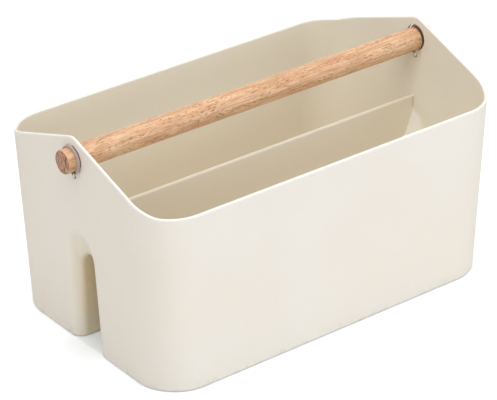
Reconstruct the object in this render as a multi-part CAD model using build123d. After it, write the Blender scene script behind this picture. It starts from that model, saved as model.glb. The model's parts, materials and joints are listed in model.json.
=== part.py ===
from build123d import *
import math
import os

# Cleaning caddy: a one-piece moulded tub with two compartments, carried by a round wooden
# handle that turns in the gabled end walls.  X runs along the handle, Y across the tub and
# Z up.  The origin is the middle of the base.  All sizes are in millimetres.

# Tub walls
tub_length = 380.0  # outside, at the level rim
tub_width = 241.8  # outside, at the level rim
rim_height = 171.5  # level rim of the long walls above the base
wall = 2.9
floor_thickness = 3.0
end_draft = 2.0  # degrees the end walls lean outward
side_draft = 1.75  # degrees the long walls lean outward
corner_radius = 41.0  # upright corners, outside
base_edge_radius = 2.8
floor_radius = 3.5  # inside, where the walls meet the floor

# Gabled end walls that carry the handle
handle_above_rim = 15.7  # axis of the handle above the level rim
peak_above_handle = 21.6  # where the two slopes would meet, above that axis
gable_shoulder = 16.1  # level rim between the foot of a slope and the long wall
peak_radius = 15.0
gable_foot_radius = 30.0  # blend between slope and level rim
top_edge_flat = 0.2  # left between the two roundings of a top edge

# Tunnel pressed up into the base below the divider
tunnel_width = 29.6  # at the base
tunnel_height = 88.0
tunnel_draft = 2.2  # degrees its sides lean in, up to a full-round roof
tunnel_end_radius = 8.0  # edge between the tunnel and its flared mouth

# Flared mouth of the tunnel in each end wall
mouth_spread = 6.5  # wider than the tunnel on each side, in the outer face of the wall
mouth_rise = 28.0  # higher than the tunnel, in the outer face of the wall
mouth_depth = 10.9  # from the crown of the mouth to where the tunnel starts
mouth_radius = 12.0  # edge between the mouth and the end wall

# Divider between the compartments, standing on the tunnel roof
divider_thickness = 3.4
divider_rise = 39.9  # top edge above the ridge of the tunnel
divider_root_radius = 0.6

# Wooden handle
handle_diameter = 21.5
handle_stand_out = 10.65  # of each end beyond the end wall
handle_end_radius = 1.2

# Holes for the handle: the dowel rests in the bottom of a larger hole
hole_play = 3.0  # hole diameter less handle diameter
handle_clearance = 0.3  # below the dowel, where it bears on the wall

# Rubber ring on the dowel outside each end wall
ring_width = 2.25  # radial, from the dowel's surface outward
ring_thickness = 2.4
ring_clearance = 0.3  # between ring and wall
ring_fit = 0.05  # radial, between ring and dowel
ring_edge_chamfer = 0.4

# Retaining pins, two at each end of the dowel
pin_diameter = 2.5
pin_stand_out = 5.0  # beyond the surface of the dowel
pin_depth = 8.0  # below the surface of the dowel
pin_fit = 0.02  # radial, in its hole
pin_tip_chamfer = 0.6
pin_tilt = 37.0  # degrees from straight down towards the front
outer_pin_gap = 0.3  # between ring and outer pin
inner_pin_gap = 5.9  # between end wall and inner pin

# Values that follow from the ones above
end_slope = math.tan(math.radians(end_draft))
side_slope = math.tan(math.radians(side_draft))
handle_height = rim_height + handle_above_rim
peak_height = handle_height + peak_above_handle
gable_foot = tub_width / 2 - gable_shoulder
rim_radius = (wall - top_edge_flat) / 2
ridge_height = tunnel_height + wall
mouth_height = tunnel_height + mouth_rise
mouth_bend = math.atan2(mouth_depth, mouth_rise)  # between the end wall and the crown of the mouth
tunnel_bend = math.pi / 2 - mouth_bend  # between the crown of the mouth and the tunnel
divider_height = ridge_height + divider_rise
divider_top_radius = (divider_thickness - top_edge_flat) / 2
hole_diameter = handle_diameter + hole_play
hole_height = handle_height + hole_play / 2 - handle_clearance
ring_diameter = handle_diameter + 2 * ring_width
beyond = 20.0  # how far cutting shapes run past what they cut
cut_length = tub_length + 2 * beyond
cut_width = tub_width + 2 * beyond
cut_top = peak_height + beyond
on_its_base = (Align.CENTER, Align.CENTER, Align.MIN)
same_place = 0.01  # two points this near are one
mostly_up = 0.8  # least upward part of a unit normal on the top of a wall


def end_wall_x(height):
    """Outer face of the right end wall at a height."""
    return tub_length / 2 - (rim_height - height) * end_slope


def side_wall_y(height):
    """Outer face of the rear wall at a height."""
    return tub_width / 2 - (rim_height - height) * side_slope


def along_x(profile, length):
    """Extrude a profile drawn in Y and Z to both sides of the middle."""
    seen_along_x = Plane(origin=(0, 0, 0), x_dir=(0, 1, 0), z_dir=(1, 0, 0))
    return extrude(seen_along_x * profile, length / 2, both=True)


def along_y(profile, width):
    """Extrude a profile drawn in X and Z to both sides of the middle."""
    seen_along_y = Plane(origin=(0, 0, 0), x_dir=(1, 0, 0), z_dir=(0, -1, 0))
    return extrude(seen_along_y * profile, width / 2, both=True)


def leaning_walls(half_span, bottom, inset):
    """Section between two leaning walls, whose faces half_span gives, drawn in by the inset."""
    foot = half_span(bottom) - inset
    head = half_span(cut_top) - inset
    outline = Polyline((-foot, bottom), (foot, bottom), (head, cut_top), (-head, cut_top), close=True)
    return make_face(outline.edges())


def tub_block(bottom, inset):
    """Solid form of the tub from the bottom height up, drawn in by the inset."""
    ends = along_x(leaning_walls(side_wall_y, bottom, inset), cut_length)
    sides = along_y(leaning_walls(end_wall_x, bottom, inset), cut_width)
    block = ends & sides
    upright = block.edges().filter_by(lambda edge: edge.bounding_box().size.Z > rim_height)
    return fillet(upright, corner_radius - inset)


def arch(half_width, height):
    """Section of the tunnel or its mouth: leaning sides run tangent into a round roof."""
    lean = math.radians(tunnel_draft)
    radius = (half_width * math.cos(lean) - height * math.sin(lean)) / (1 - math.sin(lean))
    spring_y = radius * math.cos(lean)
    spring_z = height - radius + radius * math.sin(lean)
    roof = ThreePointArc((spring_y, spring_z), (0, height), (-spring_y, spring_z))
    sides = Polyline((-spring_y, spring_z), (-half_width, 0), (half_width, 0), (spring_y, spring_z))
    return make_face([*roof.edges(), *sides.edges()])


def tunnel_form(growth):
    """Tunnel and its two flared mouths, grown on every side for the outside of their walls."""
    half_width = tunnel_width / 2 + growth
    section = arch(half_width, tunnel_height + growth)
    tunnel_end = end_wall_x(mouth_height) - mouth_depth - growth * math.tan(tunnel_bend / 2)
    form = along_x(section, 2 * tunnel_end)
    spread = growth * math.tan(mouth_bend / 2)
    opening = arch(tunnel_width / 2 + mouth_spread + spread, mouth_height + spread)
    for side in (1, -1):
        wall_face = Plane(
            origin=(side * (end_wall_x(0) - growth), 0, 0),
            x_dir=(0, side, 0),
            z_dir=(side, 0, -end_slope),
        )
        start = Plane(origin=(side * tunnel_end, 0, 0), x_dir=(0, side, 0), z_dir=(side, 0, 0))
        outline = wall_face * opening
        form += loft([start * section, outline], ruled=True)
        form += extrude(outline, beyond, dir=(side, 0, 0))
    return form


def above_rim():
    """Everything above the gabled rim line, drawn in Y and Z."""
    reach = cut_width / 2
    rim = FilletPolyline(
        (-reach, rim_height),
        (-gable_foot, rim_height),
        (0, peak_height),
        (gable_foot, rim_height),
        (reach, rim_height),
        radius=[gable_foot_radius, peak_radius, gable_foot_radius],
    )
    lid_height = cut_top + beyond
    lid = Polyline((reach, rim_height), (reach, lid_height), (-reach, lid_height), (-reach, rim_height))
    return make_face([*rim.edges(), *lid.edges()])


def edges_of(part, kept):
    """Edges of a part for which a test holds."""
    return part.edges().filter_by(kept)


def ends_tunnel(edge):
    """True for an edge between the tunnel and its flared mouth."""
    reach = edge.bounding_box().size
    near = abs(edge.center().Y) < tunnel_width and edge.center().Z < ridge_height
    return near and reach.X < same_place and reach.Z > 2 * wall


def outlines_mouth(edge, depth):
    """True for an edge of the flared mouth in the face of an end wall, at a depth in the wall."""
    points = [edge @ 0, edge @ 0.5, edge @ 1]
    near = all(abs(point.Y) < tunnel_width for point in points)
    in_face = all(abs(abs(point.X) + depth - end_wall_x(point.Z)) < same_place for point in points)
    return near and in_face and edge.bounding_box().size.Z > 2 * wall


def bounds_divider_face(edge):
    """True for an edge where a face of the divider meets the ridge, a mouth or an end wall."""
    points = [edge @ 0, edge @ 0.5, edge @ 1]
    in_face = all(abs(abs(point.Y) - divider_thickness / 2) < same_place for point in points)
    return in_face and edge.center().Z < divider_height - divider_top_radius


def with_round_mouths(form, growth):
    """Round the edges where the tunnel meets its mouths and where those meet the end walls."""
    form = fillet(edges_of(form, ends_tunnel), tunnel_end_radius - growth)
    return fillet(edges_of(form, lambda edge: outlines_mouth(edge, growth)), mouth_radius - growth)


def outer_form():
    """Outside of the tub, filled in: drafted walls, flared tunnel and rounded base edge."""
    form = with_round_mouths(tub_block(0, 0) - tunnel_form(0), 0)
    base = edges_of(form, lambda edge: edge.bounding_box().max.Z < same_place)
    return fillet(base, base_edge_radius)


def divider_profile():
    """Section of the divider, its top edge rounded, drawn in Y and Z."""
    slab = Pos(0, divider_height / 2) * Rectangle(divider_thickness, divider_height)
    top = slab.vertices().group_by(Axis.Y)[-1]
    return fillet(top, divider_top_radius)


def cavity_form():
    """Space inside the tub: one wall thickness in from the outside, split by the divider."""
    form = with_round_mouths(tub_block(floor_thickness, wall) - tunnel_form(wall), wall)
    form -= along_x(divider_profile(), cut_length)
    form = fillet(edges_of(form, bounds_divider_face), divider_root_radius)
    floor_edges = edges_of(form, lambda edge: edge.bounding_box().max.Z < floor_thickness + same_place)
    return fillet(floor_edges, floor_radius)


def rim_edges(part):
    """Inner and outer edges of the top of the walls."""
    top_faces = part.faces().filter_by(
        lambda face: face.center().Z > rim_height - wall and face.normal_at(face.center()).Z > mostly_up
    )
    drawn = [edge for face in top_faces for edge in face.edges()]
    return ShapeList([edge for edge in drawn if sum(edge.is_same(other) for other in drawn) == 1])


def make_tub():
    """The moulded tub, with gabled ends and a hole in each for the handle."""
    shell = outer_form() - cavity_form() - along_x(above_rim(), cut_length)
    shell -= Pos(0, 0, hole_height) * Rot(0, 90, 0) * Cylinder(hole_diameter / 2, cut_length)
    return fillet(rim_edges(shell), rim_radius)


def pin_places():
    """Distance of each pin's axis from the middle, by name; plus is to the right."""
    ring_outer = ring_seat() + ring_thickness
    outer = ring_outer + outer_pin_gap + pin_diameter / 2
    inner = end_wall_x(handle_height) - wall - inner_pin_gap - pin_diameter / 2
    return {
        "pin_left_outer": -outer,
        "pin_left_inner": -inner,
        "pin_right_inner": inner,
        "pin_right_outer": outer,
    }


def ring_seat():
    """Inner face of the right ring: clear of the leaning wall up to the top of the ring."""
    return end_wall_x(handle_height + ring_diameter / 2) + ring_clearance


def pin_axis(x):
    """Place of a pin: its origin on the handle's axis, its Z along the pin, outward."""
    return Pos(x, 0, handle_height) * Rot(-pin_tilt, 0, 0) * Rot(180, 0, 0)


def make_handle():
    """Round wooden dowel with a blind hole for each pin."""
    length = 2 * (end_wall_x(handle_height) + handle_stand_out)
    dowel = Pos(0, 0, handle_height) * Rot(0, 90, 0) * Cylinder(handle_diameter / 2, length)
    ends = dowel.edges().filter_by(GeomType.CIRCLE)
    dowel = fillet(ends, handle_end_radius)
    surface = handle_diameter / 2
    bottom = surface - pin_depth
    for x in pin_places().values():
        hole = Cylinder(pin_diameter / 2 + pin_fit, pin_depth + beyond, align=on_its_base)
        dowel -= pin_axis(x) * Pos(0, 0, bottom) * hole
    return dowel


def make_pin(x):
    """Short steel pin in the dowel with a chamfered tip."""
    length = pin_depth + pin_stand_out
    bottom = handle_diameter / 2 - pin_depth
    pin = Cylinder(pin_diameter / 2, length, align=on_its_base)
    tip = pin.edges().group_by(Axis.Z)[-1]
    return pin_axis(x) * Pos(0, 0, bottom) * chamfer(tip, pin_tip_chamfer)


def make_ring(side):
    """Rubber ring on the dowel just outside an end wall; side is 1 right or -1 left."""
    section = Circle(ring_diameter / 2) - Circle(handle_diameter / 2 + ring_fit)
    ring = extrude(section, ring_thickness)
    ring = chamfer(ring.edges().filter_by(GeomType.CIRCLE), ring_edge_chamfer)
    middle = side * (ring_seat() + ring_thickness / 2)
    return Pos(middle, 0, handle_height) * Rot(0, 90, 0) * Pos(0, 0, -ring_thickness / 2) * ring


pieces = {"tub": make_tub(), "handle_dowel": make_handle()}
pieces["ring_left"] = make_ring(-1)
pieces["ring_right"] = make_ring(1)
for pin_name, pin_x in pin_places().items():
    pieces[pin_name] = make_pin(pin_x)

os.makedirs("parts", exist_ok=True)
for node, piece in pieces.items():
    export_step(piece, f"parts/{node}.step")
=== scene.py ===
import json
import math
import bmesh
import bpy
from mathutils import Matrix, Vector


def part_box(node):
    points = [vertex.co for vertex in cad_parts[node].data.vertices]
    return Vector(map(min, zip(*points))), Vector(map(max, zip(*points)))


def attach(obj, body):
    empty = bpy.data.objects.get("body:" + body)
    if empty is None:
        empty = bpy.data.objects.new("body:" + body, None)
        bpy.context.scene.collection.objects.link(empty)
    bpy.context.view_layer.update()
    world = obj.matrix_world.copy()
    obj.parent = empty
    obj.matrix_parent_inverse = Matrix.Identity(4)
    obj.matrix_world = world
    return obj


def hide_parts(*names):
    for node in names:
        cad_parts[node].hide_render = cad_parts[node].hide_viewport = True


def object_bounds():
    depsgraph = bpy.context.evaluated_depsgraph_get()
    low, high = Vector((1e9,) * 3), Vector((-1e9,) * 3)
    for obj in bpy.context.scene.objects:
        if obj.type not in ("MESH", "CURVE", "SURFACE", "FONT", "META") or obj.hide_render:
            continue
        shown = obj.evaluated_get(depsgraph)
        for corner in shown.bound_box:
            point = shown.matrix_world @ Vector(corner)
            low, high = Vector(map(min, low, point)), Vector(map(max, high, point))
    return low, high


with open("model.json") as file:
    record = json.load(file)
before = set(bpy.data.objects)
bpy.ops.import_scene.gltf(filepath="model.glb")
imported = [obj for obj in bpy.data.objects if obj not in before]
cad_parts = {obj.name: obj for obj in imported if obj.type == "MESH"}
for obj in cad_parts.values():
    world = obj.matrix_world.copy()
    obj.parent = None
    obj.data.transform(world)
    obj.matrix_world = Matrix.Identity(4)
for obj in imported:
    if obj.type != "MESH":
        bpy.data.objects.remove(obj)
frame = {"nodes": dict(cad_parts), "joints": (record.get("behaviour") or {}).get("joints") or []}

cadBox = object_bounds()
print("caddy frame loaded:", ", ".join(sorted(frame["nodes"])))

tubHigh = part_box("tub")[1]
dowelLow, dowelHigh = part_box("handle_dowel")
handleAxis = Vector(frame["joints"][0]["pos_m"])
dowelRadius = (dowelHigh.y - dowelLow.y) / 2


class Wire:
    # a socket that can be added, multiplied and so on, with numbers or other wires
    def __init__(self, recipe, socket):
        self.recipe = recipe
        self.socket = socket

    def __add__(self, other):
        return self.recipe.maths("ADD", self, other)

    def __radd__(self, other):
        return self.recipe.maths("ADD", other, self)

    def __sub__(self, other):
        return self.recipe.maths("SUBTRACT", self, other)

    def __rsub__(self, other):
        return self.recipe.maths("SUBTRACT", other, self)

    def __mul__(self, other):
        return self.recipe.maths("MULTIPLY", self, other)

    def __rmul__(self, other):
        return self.recipe.maths("MULTIPLY", other, self)

    def __truediv__(self, other):
        return self.recipe.maths("DIVIDE", self, other)

    def __rtruediv__(self, other):
        return self.recipe.maths("DIVIDE", other, self)

    def __abs__(self):
        return self.recipe.maths("ABSOLUTE", self)


class Recipe:
    # the node tree of a material or a world, built node by node
    def __init__(self, owner):
        owner.use_nodes = True
        self.owner = owner
        self.tree = owner.node_tree
        self.tree.nodes.clear()

    def node(self, kind, settings=None, inputs=None, out=0):
        made = self.tree.nodes.new(kind)
        for key, value in (settings or {}).items():
            setattr(made, key, value)
        for key, value in (inputs or {}).items():
            if isinstance(value, Wire):
                self.tree.links.new(value.socket, made.inputs[key])
            else:
                made.inputs[key].default_value = value
        return Wire(self, made.outputs[out]) if made.outputs else made

    def maths(self, operation, first, second=0.0):
        return self.node("ShaderNodeMath", {"operation": operation}, {0: first, 1: second})

    def vector(self, operation, first, second, key=1):     # key is the second value's socket
        return self.node("ShaderNodeVectorMath", {"operation": operation}, {0: first, key: second})

    def span(self, first, second):             # the straight distance over two legs at right angles
        return self.maths("SQRT", first * first + second * second)

    def length(self, vector):
        return self.node("ShaderNodeVectorMath", {"operation": "LENGTH"}, {0: vector}, "Value")

    def step(self, value, low, high):          # 0 at low, 1 at high, smooth between
        settings = {"interpolation_type": "SMOOTHSTEP"}
        return self.node("ShaderNodeMapRange", settings, {"Value": value, "From Min": low, "From Max": high})

    def blend(self, factor, first, second):    # the colour sockets of a Mix node go by number
        colours = {6: self.colour(first), 7: self.colour(second)}
        return self.node("ShaderNodeMix", {"data_type": "RGBA"}, {0: factor, **colours}, 2)

    def colour(self, value):
        return value if isinstance(value, Wire) else (*value, 1)

    def place(self):
        return self.node("ShaderNodeTexCoord", out="Object")

    def facing(self):                          # the surface's direction in the object's own frame
        return self.node("ShaderNodeTexCoord", out="Normal")

    def split(self, vector):
        made = self.node("ShaderNodeSeparateXYZ", None, {0: vector})
        return [Wire(self, output) for output in made.socket.node.outputs]

    def noise(self, vector, scale, detail=2.0, rough=0.5):    # with one scale, or one for each axis
        if isinstance(scale, tuple):
            vector = self.vector("MULTIPLY", vector, scale)
            scale = 1.0
        inputs = {"Vector": vector, "Scale": scale, "Detail": detail, "Roughness": rough}
        return self.node("ShaderNodeTexNoise", None, inputs)

    def patterns(self, vector, settings):
        return {name: self.noise(vector, *setting) for name, setting in settings.items()}

    def bump(self, height, distance, strength, normal=None):
        inputs = {"Height": height, "Distance": distance, "Strength": strength}
        if normal is not None:
            inputs["Normal"] = normal
        return self.node("ShaderNodeBump", None, inputs)

    def past(self, at, limits):                # how far a named value has gone from one limit to the other
        name, low, high = limits
        return self.step(at[name], low, high)

    def masks(self, tones, at):                # how strongly each tone shows, by a value, limits or both
        found = {}
        for name, tone in tones.items():
            found[name] = at[tone["by"]] if "by" in tone else 1.0
            for limits in tone.get("where", []):
                found[name] = self.past(at, limits) * found[name]
        return found

    def lay(self, colour, tones, on):          # lays each tone over the last by its mask
        for name, tone in tones.items():
            colour = self.blend(on[name] * tone["amount"], colour, tone["colour"])
        return colour

    def glow(self, colour, strength):
        return self.node("ShaderNodeEmission", None, {"Color": (*colour, 1), "Strength": strength})

    def swap(self, factor, first, second):
        return self.node("ShaderNodeMixShader", None, {0: factor, 1: first, 2: second})

    def rays(self, *kinds):                    # 1 for a ray of any of these kinds
        seen = 0.0
        for kind in kinds:
            seen = self.maths("MAXIMUM", self.node("ShaderNodeLightPath", out=kind), seen)
        return seen

    def finish(self, inputs):
        surface = self.node("ShaderNodeBsdfPrincipled", None, inputs)
        self.node("ShaderNodeOutputMaterial", None, {"Surface": surface})
        return self.owner


def newMix(name):
    return Recipe(bpy.data.materials.new(name))


def srgb(red, green, blue):
    def linear(level):
        level /= 255
        return level / 12.92 if level <= 0.04045 else ((level + 0.055) / 1.055) ** 2.4
    return tuple(linear(level) for level in (red, green, blue))


def dress(piece, material):
    piece.data.materials.clear()
    piece.data.materials.append(material)


creamPlastic = {                      # the tub's satin moulded plastic
    "rimBelowHandle": 0.0157,         # from the handle's axis down to the level rim
    "peakAboveRim": 0.0373,           # where the two slopes of a gable would meet
    "gableShoulder": 0.0161,          # level rim between a slope and the long wall
    "endDraft": 2.0,                  # degrees that the end walls lean outward
    "sideDraft": 1.75,
    "corner": 0.041,                  # radius of the upright corners
    "dividerTop": 0.1308,
    "mouthTop": 0.1180,               # of the tunnel's flared mouths
    "colour": srgb(244, 237, 223),
    # tones are laid in this order, and fade in from the first limit of each value to the second
    "tones": {
        "cloud": {
            "colour": srgb(243, 234, 218),
            "amount": 1.0,
            "where": [("clouding", 0.35, 0.70)],
        },
        "innerShade": {                   # painted shade: the inner faces a little yellower, as if in interreflected shade
            "colour": srgb(240, 232, 208),
            "amount": 0.5,
            "where": [("depth", 0.0008, 0.0021)],
        },
        "tunnel": {                   # painted shade in the tunnel through the base
            "colour": srgb(240, 222, 184),
            "amount": 0.9,
            "where": [("aside", 0.0220, 0.0210), ("aboveMouth", 0.0, -0.02), ("depth", 0.002, 0.014)],
        },
        "creaseShade": {                   # painted shade where the divider meets the end walls
            "colour": srgb(196, 178, 138),
            "amount": 0.5,
            "where": [
                ("aside", 0.0034, 0.0026),
                ("depth", 0.0015, 0.0025),
                ("depth", 0.0046, 0.0036),
                ("belowDivider", 0.0008, 0.0020),
                ("aboveMouth", 0.0, 0.002),
            ],
        },
        "litShoulder": {                 # painted light on the up-facing tops of the bulges over the mouths
            "colour": srgb(246, 243, 234),
            "amount": 0.6,
            "where": [
                ("up", 0.15, 0.35),
                ("depth", 0.0022, 0.0040),
                ("aside", 0.040, 0.030),
                ("height", 0.060, 0.080),
            ],
        },
        "speck": {
            "colour": srgb(190, 180, 160),
            "amount": 0.06,
            "by": "grain",
        },
        "rim": {                      # paler along the walls' top edge, partly wear and partly a painted highlight
            "colour": srgb(246, 243, 234),
            "amount": 0.6,
            "roughens": -0.08,
            "where": [("belowRim", 0.0035, 0.0008)],
        },
        "divider": {                  # painted highlight along its top edge
            "colour": srgb(251, 243, 219),
            "amount": 0.8,
            "roughens": -0.16,
            "where": [("belowDivider", 0.0022, 0.0012), ("aside", 0.0020, 0.0017), ("depth", 0.0036, 0.0041)],
        },
        "baseBand": {                    # darker and rougher in patches towards the base edge
            "colour": srgb(212, 204, 190),
            "amount": 0.5,
            "roughens": 0.2,
            "where": [("height", 0.010, 0.001), ("patchiness", 0.48, 0.66)],
        },
    },
    "tunnelSides": ("outward", -0.2, -0.8),    # faces that look inward, as the tunnel's sides do
    "tunnelRoof": ("up", -0.2, -0.7),
    "shadeRise": ("height", 0.008, 0.060),          # height over which the tunnel's painted shade grows to full
    "shadeAtFoot": 0.55,
    "floors": ("up", 0.2, 0.6),                # of the compartments, which the band at the base edge mostly leaves out
    "floorsSpared": 0.8,
    "flattening": 1.5,                # how far the divider's top edge, under its painted highlight, shades as if it lay flat
    "patterns": {                     # scale, or one for each axis, then detail and roughness
        "clouding": (9.0, 3.0),
        "patchiness": (160.0, 4.0, 0.7),
        "grain": (900.0, 3.0, 0.6),   # spark-eroded grain of the mould
        "peel": (110.0,),             # slight orange peel
        "flow": ((14, 14, 70), 3.0),  # flow marks of the moulding
    },
    "grainBump": (0.00006, 0.6),      # height in metres, and strength
    "peelBump": (0.00012, 0.5),
    "roughness": 0.42,
    "flowRoughens": 0.10,
    "grainRoughens": 0.08,
    "refraction": 1.49,
}

rimHeight = handleAxis.z - creamPlastic["rimBelowHandle"]
endLean = math.tan(math.radians(creamPlastic["endDraft"]))
sideLean = math.tan(math.radians(creamPlastic["sideDraft"]))
halfLength = tubHigh.x - (tubHigh.z - rimHeight) * endLean      # outside, at the level rim
halfWidth = tubHigh.y


def depthInside(mix, x, y, z):                 # how far a place lies inside the tub's outer faces
    corner = creamPlastic["corner"]
    flatX = halfLength - corner - (rimHeight - z) * endLean
    flatY = halfWidth - corner - (rimHeight - z) * sideLean
    pastX = mix.maths("MAXIMUM", abs(x) - flatX, 0.0)
    pastY = mix.maths("MAXIMUM", abs(y) - flatY, 0.0)
    return corner - mix.span(pastX, pastY)


def tubPlaces(mix, place):                     # what the plastic's tones are placed by
    look = creamPlastic
    x, y, z = mix.split(place)
    facing = mix.split(mix.facing())
    slope = look["peakAboveRim"] / (halfWidth - look["gableShoulder"])
    gable = mix.maths("MAXIMUM", look["peakAboveRim"] - abs(y) * slope, 0.0)
    return {
        "height": z,
        "aside": abs(y),                       # from the plane of the divider
        "depth": depthInside(mix, x, y, z),
        "up": facing[2],                       # how far a face looks up
        "outward": mix.maths("SIGN", y) * facing[1],    # and how far it looks away from that plane
        "belowRim": gable + rimHeight - z,
        "belowDivider": look["dividerTop"] - z,
        "aboveMouth": z - look["mouthTop"],
        **mix.patterns(place, look["patterns"]),
    }


def tubMasks(mix, at):
    look = creamPlastic
    on = mix.masks(look["tones"], at)
    facesTunnel = mix.maths("MAXIMUM", mix.past(at, look["tunnelSides"]), mix.past(at, look["tunnelRoof"]))
    # the tunnel's painted shade, weaker at its foot and full higher up
    shadeRise = look["shadeAtFoot"] + mix.past(at, look["shadeRise"]) * (1 - look["shadeAtFoot"])
    on["tunnel"] = on["tunnel"] * facesTunnel * shadeRise
    # the painted light on the shoulders is kept off the divider's painted highlight
    on["litShoulder"] = on["litShoulder"] * (1 - on["divider"])
    on["baseBand"] = on["baseBand"] * (1 - mix.past(at, look["floors"]) * look["floorsSpared"])
    return on


def mouldedPlastic():
    look = creamPlastic
    mix = newMix("moulded_cream_plastic")
    at = tubPlaces(mix, mix.place())
    on = tubMasks(mix, at)
    colour = mix.lay(look["colour"], look["tones"], on)

    roughness = look["roughness"] + (at["flow"] - 0.5) * look["flowRoughens"]
    roughness = roughness + (at["grain"] - 0.5) * look["grainRoughens"]
    for name, tone in look["tones"].items():
        if "roughens" in tone:
            roughness = roughness + on[name] * tone["roughens"]

    # the divider's top edge shades as if it faced up, which brightens its painted highlight
    upright = mix.vector("SCALE", (0, 0, 1), on["divider"] * look["flattening"], "Scale")
    leaning = mix.vector("ADD", mix.node("ShaderNodeNewGeometry", out="Normal"), upright)
    liftedNormal = mix.node("ShaderNodeVectorMath", {"operation": "NORMALIZE"}, {0: leaning})
    soft = mix.bump(at["peel"], *look["peelBump"], liftedNormal)
    fine = mix.bump(at["grain"], *look["grainBump"], soft)
    refraction = look["refraction"]
    return mix.finish({"Base Color": colour, "Roughness": roughness, "Normal": fine, "IOR": refraction})


beech = {                             # the handle's turned and oiled wood
    "colour": srgb(222, 179, 136),    # of the early wood in a year's growth
    "endColour": srgb(204, 152, 120),
    "tones": {                        # along the grain, in the order they are laid
        "blush": {
            "colour": srgb(216, 163, 122),
            "amount": 0.6,
            "where": [("warmth", 0.40, 0.66)],
        },
        "late": {                     # the darker wood at the end of a year's growth
            "colour": srgb(188, 138, 95),
            "amount": 0.45,
            "where": [("growth", 0.25, 0.95), ("growth", 1.0, 0.95)],
        },
        "darkFibre": {
            "colour": srgb(188, 138, 95),
            "amount": 0.68,
            "where": [("fibre", 0.46, 0.66)],
        },
        "palePatch": {
            "colour": srgb(241, 207, 166),
            "amount": 0.50,
            "where": [("patch", 0.50, 0.66)],
        },
        "paleFibre": {
            "colour": srgb(241, 207, 166),
            "amount": 0.35,
            "where": [("fibre", 0.50, 0.36)],
        },
        "fleck": {
            "colour": srgb(140, 86, 50),
            "amount": 0.78,
            "where": [("dash", 0.53, 0.66), ("crowd", 0.34, 0.60)],
        },
        "boreShade": {                   # painted shade on the dowel where it turns in the end walls
            "colour": srgb(70, 42, 26),
            "amount": 0.85,
            "where": [("along", 0.1862, 0.1868), ("along", 0.1911, 0.1905)],
        },
    },
    "endTones": {                     # on the sawn ends, in the order they are laid
        "late": {
            "colour": srgb(92, 56, 42),
            "amount": 0.45,
            "where": [("growth", 0.25, 0.95), ("growth", 1.0, 0.95)],
        },
        "blotch": {
            "colour": srgb(92, 56, 42),
            "amount": 0.70,
            "where": [("blotch", 0.46, 0.58)],
        },
        "pores": {
            "colour": srgb(92, 56, 42),
            "amount": 0.7,
            "where": [("pores", 0.54, 0.62)],
        },
        "rays": {
            "colour": srgb(216, 178, 148),
            "amount": 0.85,
            "where": [("rays", 0.50, 0.60)],
        },
        # painted shade: the sawn end darker towards its rim
        "edge": {
            "colour": srgb(92, 56, 42),
            "amount": 0.35,
            "where": [("radius", 0.0078, 0.0104)],
        },
    },
    "sawn": ("endOn", 0.55, 0.9),     # faces that look along the handle
    "ringWidth": 0.0024,              # of a year's growth
    "pith": (0.0, 0.034, -0.062),     # from the handle's axis to the middle of the tree
    "wander": 0.006,                  # how far the growth rings wave
    "patterns": {                     # a scale for each axis, then detail and roughness
        "wander": ((5, 40, 40), 3.0),
        "fibre": ((55, 900, 900), 4.0, 0.65),
        "dash": ((230, 1000, 1000), 2.0, 0.6),
        "crowd": ((22, 130, 130),),
        "patch": ((48, 260, 260), 3.0),
        "warmth": ((14, 90, 90),),
        "pores": ((0, 1300, 900), 2.0, 0.6),
        "blotch": ((0, 420, 240),),
        "rays": ((0, 620, 130),),
    },
    "fibreHeight": 0.6,               # how far fibres stand up, and flecks lie sunk
    "fleckHeight": -0.5,
    "grainBump": (0.00014, 0.7),      # height in metres, and strength
    "roughness": 0.50,
    "sawnRoughens": 0.25,
    "fibreRoughens": 0.15,
    "boreShadeRoughens": -0.1,
    "refraction": 1.47,
}


def handlePlaces(mix, place):                  # what the wood's tones are placed by
    look = beech
    at = mix.patterns(place, look["patterns"])
    fromAxis = mix.vector("ADD", place, -handleAxis)
    x, y, z = mix.split(mix.vector("ADD", place, -handleAxis - Vector(look["pith"])))
    fromPith = mix.span(y, z) + (at["wander"] - 0.5) * look["wander"]
    at["growth"] = mix.maths("FRACT", fromPith / look["ringWidth"])      # 0 to 1 over each year's growth
    at["along"] = abs(x)
    at["radius"] = mix.length(mix.vector("MULTIPLY", fromAxis, (0, 1, 1)))
    at["endOn"] = abs(mix.split(mix.facing())[0])
    return at


def turnedBeech():
    look = beech
    mix = newMix("turned_beech")
    at = handlePlaces(mix, mix.place())
    on = mix.masks(look["tones"], at)
    side = mix.lay(look["colour"], look["tones"], on)
    end = mix.lay(look["endColour"], look["endTones"], mix.masks(look["endTones"], at))
    sawn = mix.past(at, look["sawn"])
    colour = mix.blend(sawn, side, end)

    roughness = look["roughness"] + sawn * look["sawnRoughens"] + (at["fibre"] - 0.5) * look["fibreRoughens"]
    # smoother under the painted shade inside the end walls
    roughness = roughness + on["boreShade"] * look["boreShadeRoughens"]
    height = at["fibre"] * look["fibreHeight"] + on["fleck"] * look["fleckHeight"]
    grain = mix.bump(height, *look["grainBump"])
    refraction = look["refraction"]
    return mix.finish({"Base Color": colour, "Roughness": roughness, "Normal": grain, "IOR": refraction})


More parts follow.
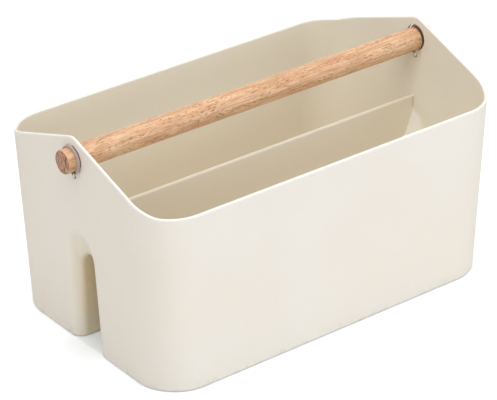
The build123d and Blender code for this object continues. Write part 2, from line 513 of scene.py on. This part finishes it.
def turned(name, outline, steps):
    # outline is (radius, height) pairs, spun about Z; a radius of zero closes the end
    shape = bmesh.new()
    angles = [2 * math.pi * k / steps for k in range(steps)]
    rings = []
    for radius, height in outline:
        if radius == 0:
            rings.append([shape.verts.new((0, 0, height))])
        else:
            places = [(radius * math.cos(a), radius * math.sin(a), height) for a in angles]
            rings.append([shape.verts.new(place) for place in places])
    pairs = list(zip(rings, rings[1:]))
    if outline[0][0] > 0 and outline[-1][0] > 0:      # a section that closes on itself, as a ring's does
        pairs.append((rings[-1], rings[0]))
    for below, above in pairs:
        for k in range(steps):
            corners = [below[k % len(below)], below[(k + 1) % len(below)]]
            corners += [above[(k + 1) % len(above)], above[k % len(above)]]
            shape.faces.new(list(dict.fromkeys(corners)))
    bmesh.ops.recalc_face_normals(shape, faces=shape.faces)
    mesh = bpy.data.meshes.new(name)
    shape.to_mesh(mesh)
    shape.free()
    mesh.polygons.foreach_set("use_smooth", [True] * len(mesh.polygons))
    piece = bpy.data.objects.new(name, mesh)
    bpy.context.scene.collection.objects.link(piece)
    return piece


def arc(centre, radius, start, end, steps=6):         # start and end in degrees
    turns = [math.radians(start + (end - start) * k / steps) for k in range(steps + 1)]
    return [(centre[0] + radius * math.cos(t), centre[1] + radius * math.sin(t)) for t in turns]


def standFor(piece, node, material):
    dress(piece, material)
    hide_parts(node)
    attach(piece, "handle")


rubberRing = {                        # the grey-brown rings that stop the handle sliding
    "colour": srgb(182, 166, 158),
    "tones": {
        "bloom": {
            "colour": srgb(206, 194, 186),
            "amount": 0.5,
            "where": [("bloom", 0.4, 0.7)],
        },
        "grain": {
            "colour": srgb(97, 85, 85),
            "amount": 0.12,
            "by": "grain",
        },
    },
    "patterns": {
        "bloom": (240.0, 3.0),
        "grain": (1800.0,),
    },
    "grainBump": (0.00006, 0.6),      # height in metres, and strength
    "roughness": 0.62,
    "bloomRoughens": 0.2,
    "play": 0.00003,                  # between its bore and the dowel
    "edge": 0.0006,                   # rounding of its edges
    "crown": 0.00015,                 # bulge of its outer face
    "crownLean": 15,                  # degrees that the crown leans at its edges
    "sides": 64,
}


def softRubber():
    look = rubberRing
    mix = newMix("soft_grey_rubber")
    at = mix.patterns(mix.place(), look["patterns"])
    colour = mix.lay(look["colour"], look["tones"], mix.masks(look["tones"], at))
    roughness = look["roughness"] + (at["bloom"] - 0.5) * look["bloomRoughens"]
    grain = mix.bump(at["grain"], *look["grainBump"])
    return mix.finish({"Base Color": colour, "Roughness": roughness, "Normal": grain})


def gripRing(node, material):
    look = rubberRing
    low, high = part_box(node)
    thick = high.x - low.x
    outer = (high.y - low.y) / 2
    inner = dowelRadius + look["play"]
    edge = look["edge"]
    lean = look["crownLean"]
    rim = outer - look["crown"]
    outline = arc((inner + edge, edge), edge, 180, 270)
    outline += arc((rim - edge, edge), edge, 270, 360 - lean)
    outline += [(outer, thick / 2)]
    outline += arc((rim - edge, thick - edge), edge, lean, 90)
    outline += arc((inner + edge, thick - edge), edge, 90, 180)
    piece = turned(node.replace("ring", "grip_ring"), outline, look["sides"])
    along = Matrix.Rotation(math.pi / 2, 4, "Y")
    piece.data.transform(Matrix.Translation((low.x, 0, handleAxis.z)) @ along)
    standFor(piece, node, material)


steelPin = {                          # the pins that hold the handle in place
    "colour": srgb(188, 184, 178),
    "tones": {
        "drawn": {                    # streaks left by drawing the wire
            "colour": srgb(112, 107, 102),
            "amount": 1.0,
            "by": "streak",
        },
    },
    "patterns": {
        "streak": ((2600, 2600, 260),),
    },
    "streakBump": (0.00003, 0.5),     # height in metres, and strength
    "roughness": 0.14,
    "streakRoughens": 0.14,
    "tilt": 37.0,                     # degrees from straight down towards the front
    "sunk": 0.003,                    # length carried on inside the dowel
    "dome": 0.8,                      # height of its rounded tip, in radii
    "tip": 1.1303,                    # from the end of its plain length to that tip's middle, in radii
    "domeTurns": (0.3, 0.6, 0.9, 1.2),    # radians up the dome to each of its rings
    "sides": 32,
}


def drawnSteel():
    look = steelPin
    mix = newMix("drawn_steel")
    at = mix.patterns(mix.place(), look["patterns"])
    colour = mix.lay(look["colour"], look["tones"], mix.masks(look["tones"], at))
    roughness = look["roughness"] + at["streak"] * look["streakRoughens"]
    streaks = mix.bump(at["streak"], *look["streakBump"])
    return mix.finish({"Base Color": colour, "Metallic": 1.0, "Roughness": roughness, "Normal": streaks})


def retainingPin(node, material):
    look = steelPin
    low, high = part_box(node)
    radius = (high.x - low.x) / 2
    tilt = math.radians(look["tilt"])
    plain = (handleAxis.z - low.z - radius * math.sin(tilt)) / math.cos(tilt)     # to its CAD node's flat end
    tip = plain + radius * look["tip"]
    start = dowelRadius - look["sunk"]
    dome = radius * look["dome"]
    outline = [(0, start), (radius, start), (radius, tip - dome)]
    outline += [(radius * math.cos(t), tip - dome + dome * math.sin(t)) for t in look["domeTurns"]]
    outline += [(0, tip)]
    piece = turned(node.replace("pin", "steel_pin"), outline, look["sides"])
    down = Matrix.Rotation(-tilt, 4, "X") @ Matrix.Rotation(math.pi, 4, "X")
    piece.data.transform(Matrix.Translation(((low.x + high.x) / 2, 0, handleAxis.z)) @ down)
    standFor(piece, node, material)


studio = {
    "floorHalf": 6.0,                 # half the floor's side
    "floorGap": 0.0001,               # between the floor and the tub's feet
    "floor": (0.76, 0.75, 0.72),
    "floorSeen": (0.96, 1.0, 1.0),    # the same floor as the camera sees it
    "glow": 0.17,                     # added to it there
    "shadowGlow": 0.09,                # the same under the tub, lower there as painted shadow
    "shadowTint": (0.86, 0.95, 1.0),
    "underFrom": 0.0005,              # inside the tub's outline, where the painted shadow on the floor starts
    "underTo": 0.0020,
    "fadeFrom": 0.6,                  # where the floor starts to turn into the white backdrop
    "fadeTo": 1.2,
    "white": (1, 1, 1),
    "sky": 0.32,                      # strength of the even light from all round
    "skyTint": (1.0, 0.97, 0.985),
    "aim": (0, 0, 0.1),               # the place that every lamp points at
    "lamps": {
        "front": {"at": (1.1, -2.6, 0.5), "size": 1.6, "power": 26.5, "tint": (0.77, 0.87, 1.0)},
        "key": {"at": (1.5, -2.5, 1.6), "size": 1.8, "power": 17, "tint": (0.78, 0.87, 1.0)},
        "side": {"at": (-2.6, -0.8, 1.4), "size": 1.6, "power": 20.5, "tint": (0.78, 0.88, 1.0)},
        "topFront": {"at": (-0.8, -0.7, 2.9), "size": 2.0, "power": 35, "tint": (1.0, 0.965, 0.97)},
        "topRear": {"at": (0.8, 0.6, 2.9), "size": 2.0, "power": 30, "tint": (1.0, 0.965, 0.97)},
        "rear": {"at": (-0.6, 2.4, 2.0), "size": 1.8, "power": 9, "tint": (1.0, 0.96, 0.965)},
    },
}

def floorMaterial():
    look = studio
    mix = newMix("pale_floor")
    place = mix.place()
    matt = mix.node("ShaderNodeBsdfDiffuse", None, {"Color": (*look["floor"], 1)})
    pale = mix.node("ShaderNodeBsdfDiffuse", None, {"Color": (*look["floorSeen"], 1)})
    x, y = mix.split(place)[:2]
    under = mix.step(depthInside(mix, x, y, 0), look["underFrom"], look["underTo"])
    clear = mix.glow(look["white"], look["glow"])
    # painted shadow: the floor under the tub glows less and bluer
    shaded = mix.glow(look["shadowTint"], look["shadowGlow"])
    bright = mix.node("ShaderNodeAddShader", None, {0: pale, 1: mix.swap(under, clear, shaded)})
    near = mix.swap(mix.rays("Is Camera Ray", "Is Transmission Ray"), matt, bright)
    seen = mix.rays("Is Camera Ray", "Is Glossy Ray", "Is Transmission Ray")
    far = mix.swap(seen, matt, mix.glow(look["white"], 1.0))
    fade = mix.step(mix.length(place), look["fadeFrom"], look["fadeTo"])
    mix.node("ShaderNodeOutputMaterial", None, {"Surface": mix.swap(fade, near, far)})
    return mix.owner


def layFloor():
    half = studio["floorHalf"]
    mesh = bpy.data.meshes.new("floor")
    corners = [(-half, -half, 0), (half, -half, 0), (half, half, 0), (-half, half, 0)]
    mesh.from_pydata(corners, [], [(0, 1, 2, 3)])
    floor = bpy.data.objects.new("floor", mesh)
    floor.location.z = cadBox[0].z - studio["floorGap"]
    bpy.context.scene.collection.objects.link(floor)
    dress(floor, floorMaterial())


def lightRoom():
    world = bpy.data.worlds.new("room")
    bpy.context.scene.world = world
    mix = Recipe(world)
    tint = (*studio["skyTint"], 1)
    white = (*studio["white"], 1)
    sky = mix.node("ShaderNodeBackground", None, {"Color": tint, "Strength": studio["sky"]})
    backdrop = mix.node("ShaderNodeBackground", None, {"Color": white, "Strength": 1.0})
    seen = mix.rays("Is Camera Ray", "Is Glossy Ray", "Is Transmission Ray")
    mix.node("ShaderNodeOutputWorld", None, {"Surface": mix.swap(seen, sky, backdrop)})
    for name, lamp in studio["lamps"].items():
        data = bpy.data.lights.new(name, "AREA")
        data.size = lamp["size"]
        data.energy = lamp["power"]
        data.color = lamp["tint"]
        light = bpy.data.objects.new(name, data)
        light.location = lamp["at"]
        aim = Vector(studio["aim"]) - light.location
        light.rotation_euler = aim.to_track_quat("-Z", "Y").to_euler()
        bpy.context.scene.collection.objects.link(light)


viewpoint = {
    "lookAt": (-0.00833, -0.00270, 0.08683),
    "distance": 2.28238,
    "azimuth": 37.340,                # degrees round from the front towards the left end
    "elevation": 28.666,
    "roll": -0.669,
    "lens": 185.45,
    "sensor": 36.0,
}


def setCamera():
    look = viewpoint
    azimuth = math.radians(look["azimuth"])
    elevation = math.radians(look["elevation"])
    flat = math.cos(elevation)
    back = Vector((-math.sin(azimuth) * flat, -math.cos(azimuth) * flat, math.sin(elevation)))
    data = bpy.data.cameras.new("viewpoint")
    data.sensor_width = look["sensor"]
    data.lens = look["lens"]
    camera = bpy.data.objects.new("viewpoint", data)
    camera.location = Vector(look["lookAt"]) + back * look["distance"]
    level = (-back).to_track_quat("-Z", "Y").to_matrix().to_4x4()
    turn = level @ Matrix.Rotation(math.radians(look["roll"]), 4, "Z")
    camera.rotation_euler = turn.to_euler()
    bpy.context.scene.collection.objects.link(camera)
    bpy.context.scene.camera = camera


setCamera()
print("camera set")
layFloor()
lightRoom()
bpy.context.scene.view_settings.view_transform = "Standard"
print("floor and light set")

dress(frame["nodes"]["tub"], mouldedPlastic())
dress(frame["nodes"]["handle_dowel"], turnedBeech())
rubber = softRubber()
steel = drawnSteel()
for node in sorted(frame["nodes"]):
    if node.startswith("ring"):
        gripRing(node, rubber)
    if node.startswith("pin"):
        retainingPin(node, steel)
print("tub, handle, rings and pins dressed")
